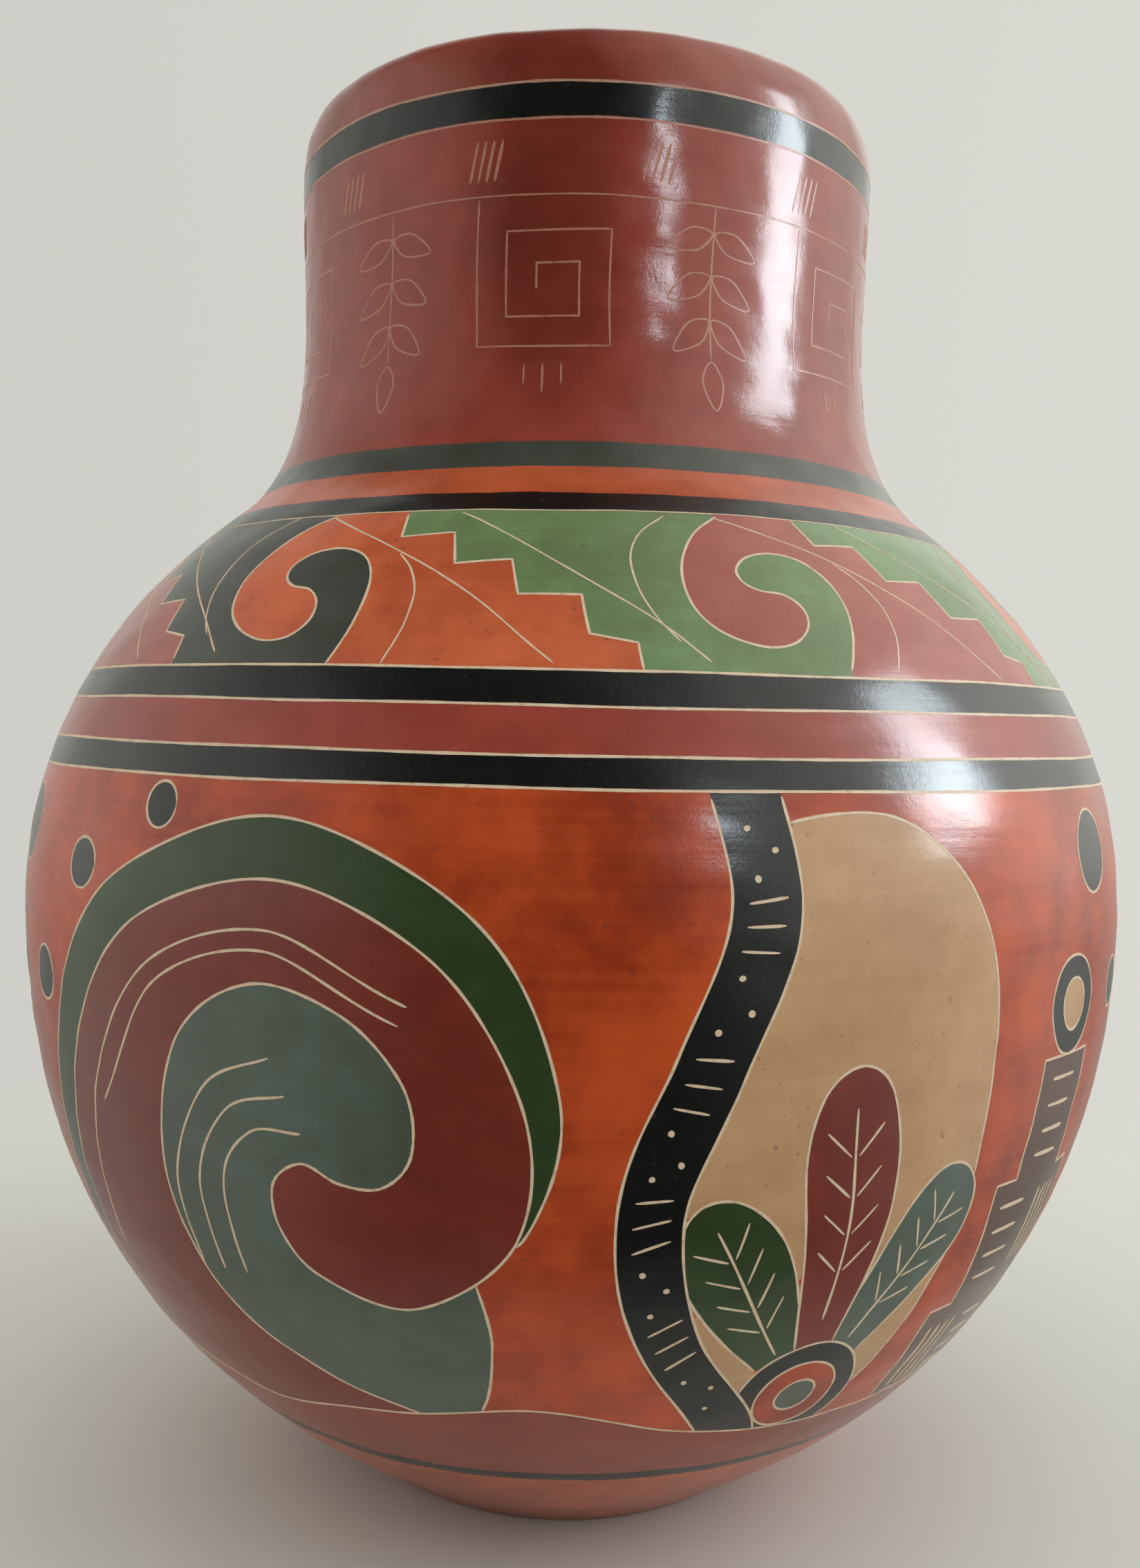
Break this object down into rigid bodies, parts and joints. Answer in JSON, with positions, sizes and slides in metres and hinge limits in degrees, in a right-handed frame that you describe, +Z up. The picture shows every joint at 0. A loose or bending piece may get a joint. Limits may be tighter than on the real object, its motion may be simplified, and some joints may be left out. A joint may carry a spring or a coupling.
{
  "type": "vase",
  "caption": "Round-bellied burnished clay vase with a straight neck, a rolled lip and banded slip decoration, for standing flowers on a table.",
  "frame": {"origin": "centre of the flat underside that the vase rests on", "axes": "+Z up along the turning axis; the side that the picture shows faces -Y"},
  "size_m": [0.206, 0.206, 0.255],
  "materials": {
    "foot_slip": "burnished orange-red slip, satin",
    "belly_slip": "burnished and waxed coloured slips, orange ground, semi-gloss",
    "frieze_slip": "burnished and waxed coloured slips in a step-fret frieze, semi-gloss",
    "neck_slip": "burnished and waxed maroon slip, semi-gloss",
    "lip_slip": "burnished brick-red slip, semi-gloss"
  },
  "bodies": {
    "root": {"base_dish": "foot_slip", "belly_bowl": "belly_slip", "shoulder_dome": "frieze_slip", "neck_collar": "neck_slip", "rolled_lip": "lip_slip"}
  },
  "joints": []
}
